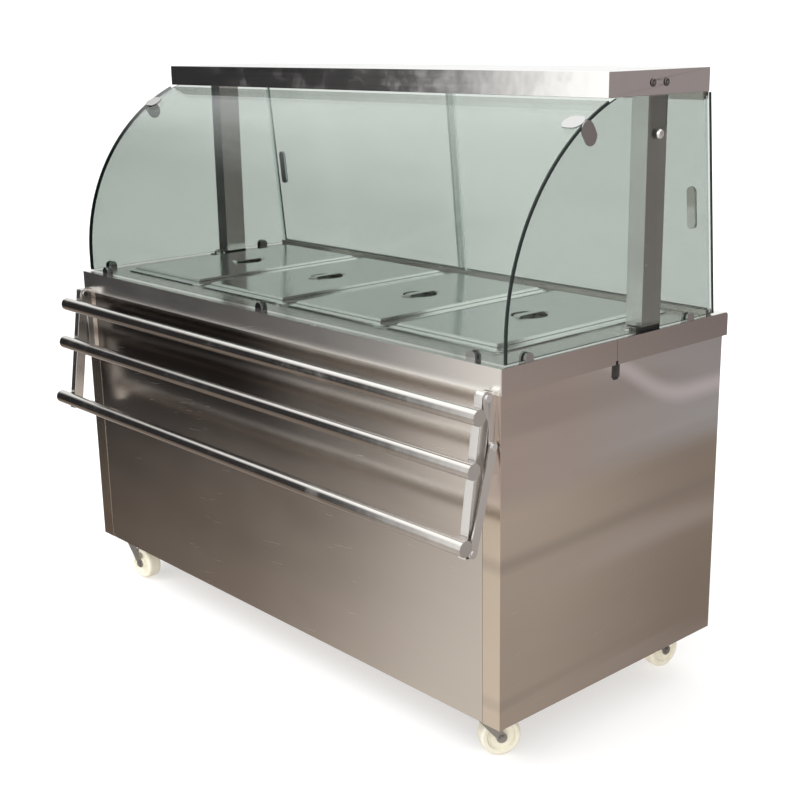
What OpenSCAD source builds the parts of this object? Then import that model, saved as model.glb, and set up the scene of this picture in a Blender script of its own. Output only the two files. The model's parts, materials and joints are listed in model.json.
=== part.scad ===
// Four-pan steam table on castors, with a curved glass front, an overshelf and a folding tray slide.
// X runs along the counter, the customer side faces -Y, and Z is up from the floor.

/* [Worktop and cabinet] */
// Length of the worktop, left to right
length = 1500; // [1440:10:1800]
// Depth of the worktop, front to back
top_depth = 700; // [690:5:840]
// Height of the worktop above the floor
counter_h = 830; // [700:5:1000]
// Height of the worktop's apron
apron_h = 50; // [40:1:60]
// Thickness of the steel sheet
sheet_t = 1.5; // [1:0.1:1.8]
// How far the apron stands proud of the cabinet at the front and sides
apron_proud = 2; // [2:0.5:6]
// How far the worktop overhangs the cabinet at the back
rear_overhang = 15; // [12:1:30]
// Width of the side panels' return round each front corner
corner_w = 46; // [40:1:80]
// How far the front panel sits behind the corner returns
front_recess = 1; // [0.5:0.1:2]

/* [Food pans and water tank] */
// Outer width of a pan's flange
pan_w = 325; // [300:1:330]
// Outer length of a pan's flange
pan_l = 530; // [440:5:540]
// Depth of a pan
pan_depth = 100; // [65:5:120]
// Gap between the flanges of neighbouring pans
pan_gap = 10; // [6:1:12]
// Distance from the worktop's front edge to the pans
pan_front = 80; // [70:1:86]
// Depth of the water tank under the worktop
tank_depth = 160; // [150:5:200]
// Height of a lid's sloped rim
lid_rise = 10; // [6:1:16]
// Diameter of the round grip dish in a lid
dish_d = 80; // [60:1:100]

/* [Glass enclosure] */
// Thickness of the fixed glass
glass_t = 6; // [4:0.5:7]
// Distance from the worktop's side edges to the outer face of the glass
glass_inset = 7; // [6:1:12]
// Distance from the worktop's front edge to the front glass
glass_front = 18; // [14:1:24]
// Height at which the front glass starts to curve
curve_start = 40; // [30:1:60]
// Outer radius of the front glass
curve_r = 455; // [450:1:475]
// Thickness of the sliding glass doors
door_t = 5; // [4:0.5:6]
// Lean of the sliding glass doors from the vertical
door_lean = 5.4; // [3:0.1:6]
// Overlap of the two sliding doors in the middle
door_overlap = 35; // [25:1:60]

/* [Posts and overshelf] */
// Width of a post along the counter
post_w = 40; // [30:1:50]
// Depth of a post, front to back
post_d = 60; // [50:1:80]
// Distance from the worktop's front edge to the middle of a post
post_y = 450; // [430:1:470]
// Clear height between the worktop and the overshelf
shelf_clear = 462; // [440:1:470]
// Height of the overshelf's folded edge
shelf_h = 48; // [36:1:60]
// Depth of the overshelf, front to back
shelf_depth = 316; // [312:1:330]
// Distance from the worktop's front edge to the overshelf
shelf_front = 297; // [290:1:298]

/* [Tray slide] */
// Diameter of a tray tube
tube_d = 32; // [25:0.5:40]
// Depth of a folding arm
arm_d = 25; // [20:1:28]
// Lean of the folded arms from the vertical
arm_lean = 8.5; // [6:0.5:12]
// Length of a folding arm below its pivot
arm_len = 302; // [295:1:330]

/* [Castors] */
// Diameter of a castor wheel
wheel_d = 85; // [60:1:102]
// Width of a wheel's tread
wheel_w = 36; // [24:1:40]
// Distance of the wheel's axle from the swivel axis
trail = 36; // [24:1:40]

/* [Hidden] */
$fn = 48;
curve_fn = 180;
steel = [0.72, 0.69, 0.66];
glass_tint = [0.75, 0.9, 0.86, 0.35];
rubber_black = [0.05, 0.05, 0.05];
nylon = [0.9, 0.87, 0.74];

// Running and fitting clearances
run_gap = 0.06;
slip = 0.5;
side_gap = 2;
touch_gap = 0.3;
overcut = 1;

// Cabinet
half_l = length/2;
body_half = half_l - apron_proud;
body_front = apron_proud;
body_back = top_depth - rear_overhang;
deck_z = counter_h - sheet_t;
flange = 16;
rear_r = 8;

// Castors, from the floor up: fork, raceway, plate
crown_t = 2.5;
fork_z = wheel_d + 4.5;
race_r = 24;
race_h = 9.7;
castor_plate_t = 3;
ride_h = fork_z + crown_t + touch_gap + race_h + castor_plate_t;
castor_x = half_l - 95;
castor_y = [48, body_back - 95];
kingpin_r = 5;
axle_r = 4;
hub_w = wheel_w + 4;
ear_t = 2.5;
ear_y = hub_w/2 + 1;
// Side, end and swivel angle of each castor: front left, front right, rear left, rear right
castors = [[-1, 0, 3], [1, 0, 60], [-1, 1, 150], [1, 1, 83]];

// Pans in their well
pan_pitch = pan_w + pan_gap;
pan_rest = 10;
well_w = 4*pan_w + 3*pan_gap - 2*pan_rest;
well_l = pan_l - 2*pan_rest;
well_y = pan_front + pan_l/2;
pan_t = 1;
pan_r = 20;
tank_t = 1.2;
tank_lip = 14;
tank_z = deck_z - tank_depth;
divider_h = 12;
lid_rim = 9;
lid_slope = 14;
lid_z = counter_h + pan_t;
dish_depth = lid_rise + 3;
strap_w = 18;
strap_t = 1.5;
strap_foot = 10;
strap_arch = 3;

// Heating element: hairpin loops along the tank
element_r = 5;
element_z = tank_z + tank_t + 15;
element_pitch = 90;
element_half = well_w/2 - 90;

// Glass
pane_out = half_l - glass_inset;
pane_in = pane_out - glass_t;
glass_lift = 3;
curve_y = glass_front + curve_r;
curve_z = counter_h + curve_start;
glass_top = counter_h + shelf_clear - 4;
curve_end = asin((glass_top - curve_z)/curve_r);
door_y = shelf_front + shelf_depth - 2 + tan(door_lean)*shelf_clear;
door_gap = 3;
door_bottom = 5;
door_top = shelf_clear/cos(door_lean) - 9;
door_w = pane_in - 2 + door_overlap/2;
pull_w = 16;
pull_h = 85;
pull_z = 225;
pull_in = 42;
track_h = 12;
track_wall = 2.5;
track_half = pane_in - slip;
clip_r = 12;
clip_t = 5;
clip_y = [78, 570];
clip_x = half_l - 90;
leaf_r = 18;
leaf_len = 14;
leaf_t = 2;
leaf_angle = 57;

// Posts and overshelf
post_out = pane_in;
post_in = post_out - post_w;
post_wall = 2;
gasket_t = 8;
foot_w = post_w - 6;
foot_l = 26;
foot_t = 2.5;
button_z = 388;
shelf_z = counter_h + shelf_clear;
shelf_top = shelf_z + shelf_h;
shelf_half = post_out + slip + sheet_t;
shelf_back = shelf_front + shelf_depth;
hem_w = 22;
screw_r = 4.5;

// Tray slide: pivot and strut places, measured from the worktop's front edge and top
pivot_y = -20;
pivot_z = counter_h - 52;
pin_r = 4;
channel_in = half_l - 38;
channel_out = half_l - 12;
channel_wall = 2;
channel_z = counter_h - 200;
channel_h = 158;
arm_in = channel_in + channel_wall + 1;
arm_out = channel_out - channel_wall - 1;
arm_wall = 2;
tube_r = tube_d/2;
tube_wall = 1.5;
cap_t = 3;
tube_off = arm_d/2 + tube_r + 1;
tube_at = [32, 131, 275];
strut_y = -10;
strut_z = counter_h - 145;
strut_t = 4;
strut_w = 20;
strut_x = channel_out + slip;
strut_end = arm_len - 12;
strut_dy = pivot_y - sin(arm_lean)*strut_end - strut_y;
strut_dz = pivot_z - cos(arm_lean)*strut_end - strut_z;
strut_len = sqrt(strut_dy*strut_dy + strut_dz*strut_dz);
strut_angle = atan2(-strut_dy, -strut_dz);

// Controls and drain on the operator's side
panel_w = 330;
panel_h = 110;
panel_x = half_l - 215;
panel_z = tank_z - 90;
knob_x = panel_x + 90;
switch_x = panel_x - 10;
lamp_x = panel_x - 90;
knob_r = 20;
knob_h = 18;
switch_r = 10;
switch_w = 12;
gland_x = panel_x - 90;
gland_z = panel_z - 110;
drain_x = -well_w/2 + 55;
drain_z = tank_z - 120;
drain_y = well_y + well_l/2 - 60;
drain_r = 13;
valve_y = body_back + 8;
valve_l = 40;
valve_r = 18;

// Middle of the whole unit front to back, which is the origin
front_reach = -pivot_y + sin(arm_lean)*tube_at[2] + cos(arm_lean)*tube_off + tube_r;
back_reach = valve_y + valve_l;
y_mid = (back_reach - front_reach)/2;

module place() {
  translate([0, -y_mid, 0]) children();
}

// The right-hand piece, or its mirror image when side is -1
module handed(side) {
  mirror([side < 0 ? 1 : 0, 0, 0]) children();
}

module both_sides() {
  for (side = [-1, 1]) handed(side) children();
}

module box(x, y, z) {
  translate([x[0], y[0], z[0]]) cube([x[1] - x[0], y[1] - y[0], z[1] - z[0]]);
}

module rounded_rect(w, l, r) {
  square([w - 2*r, l], center = true);
  square([w, l - 2*r], center = true);
  for (x = [-1, 1], y = [-1, 1]) translate([x*(w/2 - r), y*(l/2 - r)]) circle(r);
}

// A slot shape with round ends, from the origin along +Y
module slot_2d(l, r) {
  circle(r);
  translate([-r, 0]) square([2*r, l]);
  translate([0, l]) circle(r);
}

// Extrudes an outline drawn as (front to back, height) along X from x0
module along_x(x0, w) {
  translate([x0, 0, 0]) rotate([90, 0, 90]) linear_extrude(w) children();
}

// A round bar along X between two places
module bar_x(x0, x1, r) {
  translate([x0, 0, 0]) rotate([0, 90, 0]) cylinder(h = x1 - x0, r = r);
}

module bar_y(y0, y1, r) {
  translate([0, y0, 0]) rotate([-90, 0, 0]) cylinder(h = y1 - y0, r = r);
}

// ---- Cabinet ----

module side_panel(side) {
  color(steel) place() handed(side) {
    box([body_half - sheet_t, body_half], [body_front, body_back], [ride_h, deck_z]);
    box([body_half - corner_w, body_half - sheet_t + 0.01], [body_front, body_front + sheet_t],
        [ride_h, deck_z]);
  }
}

module front_panel() {
  half = body_half - corner_w - slip;
  y0 = body_front + front_recess;
  color(steel) place() {
    box([-half, half], [y0, y0 + sheet_t], [ride_h, deck_z]);
    box([-half, half], [y0, y0 + flange], [ride_h, ride_h + sheet_t]);
    for (x = [-half, half - sheet_t]) {
      box([x, x + sheet_t], [y0, y0 + flange], [ride_h, deck_z]);
    }
  }
}

module bottom_pan() {
  half = body_half - sheet_t - slip;
  y = [body_front + front_recess + flange + slip, body_back - sheet_t - slip];
  color(steel) place() difference() {
    box([-half, half], y, [ride_h, ride_h + 25]);
    box([sheet_t - half, half - sheet_t], [y[0] + sheet_t, y[1] - sheet_t],
        [ride_h + sheet_t, ride_h + 25 + overcut]);
  }
}

// Service panel on the operator's side, with two banks of ventilation slots
module rear_panel() {
  half = body_half - sheet_t - slip;
  slot_l = 90;
  slot_rows = 6;
  slot_pitch = 16;
  color(steel) place() difference() {
    box([-half, half], [body_back - sheet_t, body_back], [ride_h, deck_z]);
    box([panel_x - panel_w/2 + 8, panel_x + panel_w/2 - 8],
        [body_back - 2*sheet_t, body_back + overcut],
        [panel_z - panel_h/2 + 8, panel_z + panel_h/2 - 8]);
    translate([drain_x, 0, drain_z]) bar_y(body_back - 10, body_back + 10, drain_r + 1);
    translate([gland_x, 0, gland_z]) bar_y(body_back - 10, body_back + 10, 8);
    for (x = [-body_half/3, body_half/3], row = [0:slot_rows - 1]) {
      box([x - slot_l/2, x + slot_l/2], [body_back - 2*sheet_t, body_back + overcut],
          [ride_h + 60 + row*slot_pitch, ride_h + 66 + row*slot_pitch]);
    }
  }
}

// Outline of the worktop from its side, rounded at the back
module worktop_outline(inset, bottom) {
  r = rear_r - inset;
  y = [inset, top_depth - inset];
  z = [bottom, counter_h - inset];
  translate([y[0], z[0]]) square([y[1] - r - y[0], z[1] - z[0]]);
  translate([y[0], z[0]]) square([y[1] - y[0], z[1] - r - z[0]]);
  translate([y[1] - r, z[1] - r]) circle(r);
}

module worktop() {
  apron_z = counter_h - apron_h;
  color(steel) place() difference() {
    along_x(-half_l, length) worktop_outline(0, apron_z);
    along_x(sheet_t - half_l, length - 2*sheet_t) worktop_outline(sheet_t, apron_z - overcut);
    box([-well_w/2, well_w/2], [well_y - well_l/2, well_y + well_l/2],
        [deck_z - overcut, counter_h + overcut]);
  }
}

module pan_dividers() {
  half = pan_gap/2 + pan_rest;
  color(steel) place() for (i = [-1, 0, 1]) translate([i*pan_pitch, 0, 0]) difference() {
    box([-half, half], [well_y - well_l/2, well_y + well_l/2], [counter_h - divider_h, counter_h]);
    box([sheet_t - half, half - sheet_t], [0, top_depth],
        [counter_h - divider_h - overcut, deck_z]);
  }
}

module water_tank() {
  wall_x = well_w/2 + side_gap;
  wall_y = well_l/2 + side_gap;
  color(steel) place() translate([0, well_y, 0]) difference() {
    union() {
      box([-wall_x - tank_t, wall_x + tank_t], [-wall_y - tank_t, wall_y + tank_t],
          [tank_z, deck_z]);
      box([-wall_x - tank_lip, wall_x + tank_lip], [-wall_y - tank_lip, wall_y + tank_lip],
          [deck_z - tank_t, deck_z]);
    }
    box([-wall_x, wall_x], [-wall_y, wall_y], [tank_z + tank_t, deck_z + overcut]);
    translate([drain_x, drain_y - well_y, tank_z - overcut]) cylinder(h = 10, r = drain_r - 2);
  }
}

// Immersion heater: four runs joined by three half-round bends
module heating_element() {
  runs = 4;
  first_y = -element_pitch*(runs - 1)/2;
  color([0.35, 0.33, 0.32]) place() translate([0, well_y, element_z]) {
    for (i = [0:runs - 1]) {
      start = i == 0 || i == runs - 1 ? well_w/2 + side_gap : element_half;
      translate([0, first_y + i*element_pitch, 0]) bar_x(-element_half, start, element_r);
    }
    for (i = [0:runs - 2]) {
      end = i % 2 == 0 ? -1 : 1;
      translate([end*element_half, first_y + (i + 0.5)*element_pitch, 0])
        rotate([0, 0, end < 0 ? 90 : -90])
          rotate_extrude(angle = 180) translate([element_pitch/2, 0]) circle(element_r);
    }
  }
}

// Drain: a pipe down from the tank into an elbow, a run to the back and a ball valve outside
module drain_valve() {
  elbow_r = drain_r + 4;
  stem_r = 6;
  outlet_r = 10;
  outlet_l = 20;
  color(steel) place() translate([drain_x, 0, drain_z]) difference() {
    union() {
      translate([0, drain_y, 0]) cylinder(h = tank_z - drain_z, r = drain_r);
      translate([0, drain_y, -elbow_r]) cylinder(h = 2*elbow_r + 6, r = elbow_r);
      bar_y(drain_y, valve_y + 1, drain_r);
      bar_y(valve_y, valve_y + valve_l, valve_r);
      translate([0, valve_y + valve_l/2, 0]) cylinder(h = valve_r + 14, r = stem_r);
    }
    bar_y(valve_y + valve_l - outlet_l, valve_y + valve_l + overcut, outlet_r);
  }
}

module drain_lever() {
  color([0.7, 0.12, 0.1]) place()
    translate([drain_x, valve_y + valve_l/2, drain_z + valve_r + touch_gap]) {
      difference() {
        union() {
          cylinder(h = 10, r = 11);
          translate([0, 0, 6]) linear_extrude(4) rotate(-90) slot_2d(85, 9);
        }
        translate([0, 0, -1]) cylinder(h = 14, r = 6 + run_gap);
      }
    }
}

// Control fascia with its box behind, through the cut-out in the rear panel
module control_panel() {
  fascia_t = 2;
  box_depth = 70;
  inner = 10;
  color(steel) place() difference() {
    union() {
      box([panel_x - panel_w/2, panel_x + panel_w/2], [body_back, body_back + fascia_t],
          [panel_z - panel_h/2, panel_z + panel_h/2]);
      box([panel_x - panel_w/2 + inner, panel_x + panel_w/2 - inner],
          [body_back - box_depth, body_back],
          [panel_z - panel_h/2 + inner, panel_z + panel_h/2 - inner]);
    }
    box([panel_x - panel_w/2 + inner + sheet_t, panel_x + panel_w/2 - inner - sheet_t],
        [body_back - box_depth + sheet_t, body_back],
        [panel_z - panel_h/2 + inner + sheet_t, panel_z + panel_h/2 - inner - sheet_t]);
    translate([knob_x, 0, panel_z]) bar_y(body_back - 5, body_back + 5, 4 + run_gap);
    translate([lamp_x, 0, panel_z]) bar_y(body_back - 5, body_back + 5, 5);
    box([switch_x - switch_w/2 - slip, switch_x + switch_w/2 + slip],
        [body_back - 1, body_back + 5],
        [panel_z - switch_r - slip, panel_z + switch_r + slip]);
  }
}

module pilot_lamp() {
  color([0.85, 0.35, 0.1]) place() translate([lamp_x, 0, panel_z]) {
    bar_y(body_back - 12, body_back + 2, 5);
    translate([0, body_back + 2, 0]) intersection() {
      sphere(r = 8);
      bar_y(0, 9, 9);
    }
  }
}

// The grip has flutes round its rim and a raised pointer
module thermostat_knob() {
  flutes = 12;
  color(rubber_black) place() translate([knob_x, body_back + 2 + touch_gap, panel_z]) {
    difference() {
      bar_y(0, knob_h, knob_r);
      for (i = [0:flutes - 1]) rotate([0, i*360/flutes, 0])
        translate([knob_r + 2, 0, 0]) bar_y(4, knob_h + 1, 4);
    }
    bar_y(-10, 0.5, 4);
    box([-1.5, 1.5], [knob_h - 0.5, knob_h + 2], [2, knob_r - 4]);
  }
}

// Rocker with a shallow V across its face, resting on its lower half
module power_switch() {
  rocker_rest = 8;
  rocker_slope = 14;
  face = 3;
  color([0.6, 0.05, 0.05]) place() translate([switch_x, body_back + 2, panel_z])
    rotate([rocker_rest, 0, 0]) difference() {
      bar_x(-switch_w/2, switch_w/2, switch_r);
      rotate([rocker_slope, 0, 0])
        box([-switch_w, switch_w], [face, 2*switch_r], [0, 2*switch_r]);
      rotate([-rocker_slope, 0, 0])
        box([-switch_w, switch_w], [face, 2*switch_r], [-2*switch_r, 0]);
    }
}

module cable_gland() {
  color(rubber_black) place() translate([gland_x, 0, gland_z]) difference() {
    union() {
      bar_y(body_back - 12, body_back + 22, 8);
      translate([0, body_back, 0]) rotate([-90, 0, 0]) cylinder(h = 8, r = 13, $fn = 6);
      translate([0, body_back - sheet_t - 7, 0]) rotate([-90, 0, 0])
        cylinder(h = 7, r = 13, $fn = 6);
    }
    bar_y(body_back - 20, body_back + 30, 5);
  }
}

// ---- Posts and overshelf ----

module post(side) {
  z = [counter_h + gasket_t, shelf_top - sheet_t];
  y = [post_y - post_d/2, post_y + post_d/2];
  color(steel) place() handed(side) difference() {
    box([post_in, post_out], y, z);
    box([post_in + post_wall, post_out - post_wall], [y[0] + post_wall, y[1] - post_wall],
        [z[0] - overcut, z[1] + overcut]);
  }
}

module post_gaskets() {
  color(rubber_black) place() both_sides()
    box([post_in - 2, post_out], [post_y - post_d/2 - 8, post_y + post_d/2],
        [counter_h, counter_h + gasket_t]);
}

// Foot bracket with its hex bolt, dome button through the side glass, and the overshelf's screws
module post_fixings() {
  foot_y = post_y - post_d/2 - 8;
  color(steel) place() both_sides() {
    box([post_in, post_in + foot_w], [foot_y - foot_l, foot_y], [counter_h, counter_h + foot_t]);
    box([post_in, post_in + foot_w], [foot_y - foot_t, foot_y], [counter_h, counter_h + gasket_t]);
    translate([post_in + foot_w/2, foot_y - 14, counter_h + foot_t]) {
      cylinder(h = 7, r = 9, $fn = 6);
      cylinder(h = 11, r = 5);
    }
    translate([0, post_y, counter_h + button_z]) {
      bar_x(post_out, pane_out + 1, 5);
      translate([pane_out, 0, 0]) intersection() {
        scale([0.6, 1, 1]) sphere(r = 10);
        bar_x(0, 6.5, 10);
      }
    }
    for (y = [-21, 21]) translate([shelf_half, post_y + y, shelf_z + shelf_h/2])
      bar_x(-slip - sheet_t, 2.5, screw_r);
  }
}

// Folded steel tray, open underneath, with hems along its long edges
module overshelf() {
  x = [-shelf_half, shelf_half];
  y = [shelf_front, shelf_back];
  color(steel) place() difference() {
    box(x, y, [shelf_z, shelf_top]);
    box([x[0] + sheet_t, x[1] - sheet_t], [y[0] + sheet_t, y[1] - sheet_t],
        [shelf_z + sheet_t, shelf_top - sheet_t]);
    box([x[0] + sheet_t, x[1] - sheet_t], [y[0] + 12, y[1] - hem_w],
        [shelf_z - overcut, shelf_z + 2*sheet_t]);
    both_sides() for (dy = [-21, 21]) translate([0, post_y + dy, shelf_z + shelf_h/2])
      bar_x(shelf_half - 5, shelf_half + 5, screw_r);
  }
}

// ---- Glass ----

// The front glass: a straight foot and a bent sweep back to the overshelf
module front_glass() {
  reach = 1.2*curve_r;
  color(glass_tint) place() {
    box([-pane_out, pane_out], [glass_front, glass_front + glass_t],
        [counter_h + glass_lift, curve_z]);
    translate([0, curve_y, curve_z]) intersection() {
      difference() {
        bar_x(-pane_out, pane_out, curve_r, $fn = curve_fn);
        bar_x(-pane_out - 1, pane_out + 1, curve_r - glass_t, $fn = curve_fn);
      }
      along_x(-pane_out - 2, 2*pane_out + 4)
        polygon([[0, 0], [-reach, 0], [-reach, reach], [-reach/tan(curve_end), reach]]);
    }
  }
}

// Outline of a side pane inside the front glass, cut off along the doors' lean
module pane_outline() {
  inner_r = curve_r - glass_t - slip;
  foot_z = counter_h + glass_lift;
  top_z = shelf_z - 1;
  back = door_y + 3;
  intersection() {
    union() {
      translate([curve_y - inner_r, foot_z]) square([back, curve_z - foot_z + 0.01]);
      translate([curve_y, curve_z]) circle(inner_r, $fn = curve_fn);
      translate([curve_y, foot_z]) square([back, shelf_clear]);
    }
    polygon([
      [0, foot_z], [back - tan(door_lean)*glass_lift, foot_z],
      [back - tan(door_lean)*(top_z - counter_h), top_z], [0, top_z]
    ]);
  }
}

module side_glass(side) {
  color(glass_tint) place() handed(side) difference() {
    along_x(pane_in, glass_t) pane_outline();
    translate([0, post_y, counter_h + button_z]) bar_x(pane_in - 1, pane_out + 1, 5);
  }
}

// A pair of half-round jaws on a foot, gripping the glass that crosses the origin along X
module jaw_clip() {
  grip = glass_t/2 + 0.1;
  box([-clip_r, clip_r], [-grip - clip_t, grip + clip_t], [0, glass_lift]);
  for (y = [-grip - clip_t, grip]) intersection() {
    translate([0, 0, clip_r/2]) bar_y(y, y + clip_t, clip_r);
    box([-clip_r, clip_r], [y, y + clip_t], [0, 2*clip_r]);
  }
}

module glass_clips() {
  color(steel) place() translate([0, 0, counter_h]) {
    for (x = [-clip_x, 0, clip_x]) translate([x, glass_front + glass_t/2, 0]) jaw_clip();
    both_sides() for (y = clip_y)
      translate([pane_out - glass_t/2, y, 0]) rotate([0, 0, 90]) jaw_clip();
  }
}

// Two rounded leaves that join the front glass to a side pane near the top of the bend
module corner_clips() {
  color(steel) place() both_sides()
    translate([0, curve_y, curve_z]) rotate([-leaf_angle, 0, 0]) {
      translate([pane_out - leaf_r - 1, -curve_r, 0]) rotate([90, 0, 0])
        linear_extrude(leaf_t) rotate(90) slot_2d(leaf_len, leaf_r);
      along_x(pane_out, leaf_t)
        translate([-curve_r + leaf_r - leaf_t, 0]) rotate(-90) slot_2d(leaf_len, leaf_r);
    }
}

// ---- Sliding glass doors ----

// Frame of the leaning doors: X along the counter, Y out of the back, Z up the lean
module door_frame() {
  place() translate([0, door_y, counter_h]) rotate([door_lean, 0, 0]) children();
}

// The left door runs in the inner groove and the right one in the outer
function door_plane(side) = side < 0 ? -2*door_t - door_gap : -door_t;

module track_grooves(z) {
  for (side = [-1, 1])
    box([-half_l, half_l], [door_plane(side) - 0.4, door_plane(side) + door_t + 0.4], z);
}

module door_track_lower() {
  color(steel) intersection() {
    door_frame() difference() {
      box([-track_half, track_half],
          [door_plane(-1) - track_wall, track_wall], [-track_h, track_h]);
      track_grooves([door_bottom - 1, track_h + overcut]);
    }
    place() box([-half_l, half_l], [0, top_depth], [counter_h, counter_h + 3*track_h]);
  }
}

module door_track_upper() {
  color(steel) intersection() {
    door_frame() difference() {
      box([-track_half, track_half],
          [door_plane(-1) - track_wall, track_wall], [door_top - 6, door_top + 3*track_h]);
      track_grooves([door_top - 6 - overcut, door_top + 2]);
    }
    place() box([-half_l, half_l], [0, shelf_back], [counter_h, shelf_z]);
  }
}

module glass_door(side) {
  color(glass_tint) door_frame() handed(side) difference() {
    box([pane_in - 2 - door_w, pane_in - 2],
        [door_plane(side), door_plane(side) + door_t], [door_bottom, door_top]);
    translate([pane_in - pull_in, door_plane(side) - 1, pull_z - pull_h/2 + pull_w/2])
      rotate([90, 0, 0]) mirror([0, 0, 1]) linear_extrude(door_t + 2)
        slot_2d(pull_h - pull_w, pull_w/2);
  }
}

// Finger pull: a plug through the glass with a thin flange on each face and a shallow dish
module door_pull(side) {
  proud = 1;
  lip = 2;
  color(steel) door_frame() handed(side)
    translate([pane_in - pull_in, door_plane(side), pull_z - pull_h/2 + pull_w/2])
      rotate([90, 0, 0]) mirror([0, 0, 1]) difference() {
        union() {
          linear_extrude(door_t) slot_2d(pull_h - pull_w, pull_w/2);
          for (z = [-proud, door_t]) translate([0, 0, z])
            linear_extrude(proud) slot_2d(pull_h - pull_w, pull_w/2 + lip);
        }
        translate([0, 0, door_t - 2]) linear_extrude(5) slot_2d(pull_h - pull_w, pull_w/2 - 2);
      }
}

// ---- Folding tray slide ----

// A channel on the cabinet's front; its ears carry the arm's pivot and the strut's
module wall_channel(side) {
  back = -touch_gap;
  top = channel_z + channel_h;
  deep = pivot_y - 11;
  shallow = pivot_y + 2;
  color(steel) place() handed(side) difference() {
    union() {
      for (x = [channel_in, channel_out - channel_wall]) along_x(x, channel_wall)
        polygon([[back, channel_z], [shallow, channel_z], [shallow, channel_z + 100],
                 [deep, channel_z + 130], [deep, top], [back, top]]);
      box([channel_in, channel_out], [back - channel_wall, back], [channel_z, top]);
      box([channel_in, channel_out], [back, body_front], [channel_z, counter_h - apron_h - slip]);
    }
    translate([0, pivot_y, pivot_z]) bar_x(channel_in - 1, channel_out + 1, pin_r);
    translate([0, strut_y, strut_z]) bar_x(channel_out - 5, channel_out + 1, pin_r);
  }
}

module tray_pivot_bolts() {
  head_t = 2.5;
  color(steel) place() both_sides() {
    translate([0, pivot_y, pivot_z]) {
      bar_x(channel_in - head_t, channel_out + head_t, pin_r);
      for (x = [channel_in - head_t, channel_out]) bar_x(x, x + head_t, 7);
    }
    translate([0, strut_y, strut_z]) {
      bar_x(channel_out - channel_wall - head_t, strut_x + strut_t + touch_gap + head_t, pin_r);
      bar_x(channel_out - channel_wall - head_t, channel_out - channel_wall, 6);
      bar_x(strut_x + strut_t + touch_gap, strut_x + strut_t + touch_gap + head_t, 7);
    }
  }
}

// Frame of the arms: origin at the pivot, Z up along the arm, -Y towards the tubes
module arm_frame() {
  place() translate([0, pivot_y, pivot_z]) rotate([-arm_lean, 0, 0]) children();
}

// Arm: a channel open towards the strut, round at the pivot end
module tray_arm(side) {
  r = arm_d/2;
  web = arm_out - arm_in;
  color(steel) arm_frame() handed(side) difference() {
    along_x(arm_in, web) {
      circle(r);
      translate([-r, -arm_len]) square([2*r, arm_len]);
    }
    box([arm_in + arm_wall, arm_out + overcut], [arm_wall - r, r - arm_wall],
        [arm_wall - arm_len, -2*r]);
    bar_x(arm_in - 1, arm_out + 1, pin_r + run_gap);
  }
}

module tray_tube(i) {
  half = half_l - cap_t;
  color(steel) arm_frame() translate([0, -tube_off, -tube_at[i]]) difference() {
    bar_x(-half, half, tube_r);
    bar_x(-half - 1, half + 1, tube_r - tube_wall);
  }
}

// Cupped saddles between the arms and the tubes, and the tubes' end caps
module tube_saddles() {
  saddle_h = tube_d*0.8;
  color(steel) arm_frame() both_sides() for (z = tube_at) translate([0, -tube_off, -z]) {
    difference() {
      box([arm_in - 4, arm_out], [0, tube_off - arm_d/2], [-saddle_h/2, saddle_h/2]);
      bar_x(0, half_l, tube_r);
    }
    bar_x(half_l - cap_t, half_l, tube_r);
    bar_x(half_l - cap_t - 8, half_l - cap_t, tube_r - tube_wall);
  }
}

// Strut: a flat bar with round ends, whose lower pin stops short of the arm's open channel
module strut(side) {
  r = strut_w/2;
  color(steel) place() handed(side) translate([0, strut_y, strut_z])
    rotate([-strut_angle, 0, 0]) {
      difference() {
        along_x(strut_x, strut_t) rotate(180) slot_2d(strut_len, r);
        bar_x(strut_x - 1, strut_x + strut_t + 1, pin_r + run_gap);
      }
      translate([0, 0, -strut_len]) bar_x(strut_x + strut_t - 0.01, strut_x + strut_t + 2, 6);
    }
}

// ---- Pans and lids ----

module at_pan(i) {
  place() translate([(i - 1.5)*pan_pitch, well_y, 0]) children();
}

module food_pan(i) {
  w = pan_w - 2*pan_rest - 2*side_gap;
  l = pan_l - 2*pan_rest - 2*side_gap;
  color(steel) at_pan(i) difference() {
    union() {
      translate([0, 0, counter_h]) linear_extrude(pan_t) rounded_rect(pan_w, pan_l, pan_r);
      translate([0, 0, counter_h - pan_depth]) linear_extrude(pan_depth + pan_t/2)
        rounded_rect(w, l, pan_r);
    }
    translate([0, 0, counter_h - pan_depth + pan_t]) linear_extrude(pan_depth + 10)
      rounded_rect(w - 2*pan_t, l - 2*pan_t, pan_r - pan_t);
  }
}

// A block with four sloped sides
module frustum(w, l, h, slope) {
  intersection() {
    rotate([90, 0, 0]) linear_extrude(l, center = true)
      polygon([[-w/2, 0], [w/2, 0], [w/2 - slope, h], [slope - w/2, h]]);
    rotate([90, 0, 90]) linear_extrude(w, center = true)
      polygon([[-l/2, 0], [l/2, 0], [l/2 - slope, h], [slope - l/2, h]]);
  }
}

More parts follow.
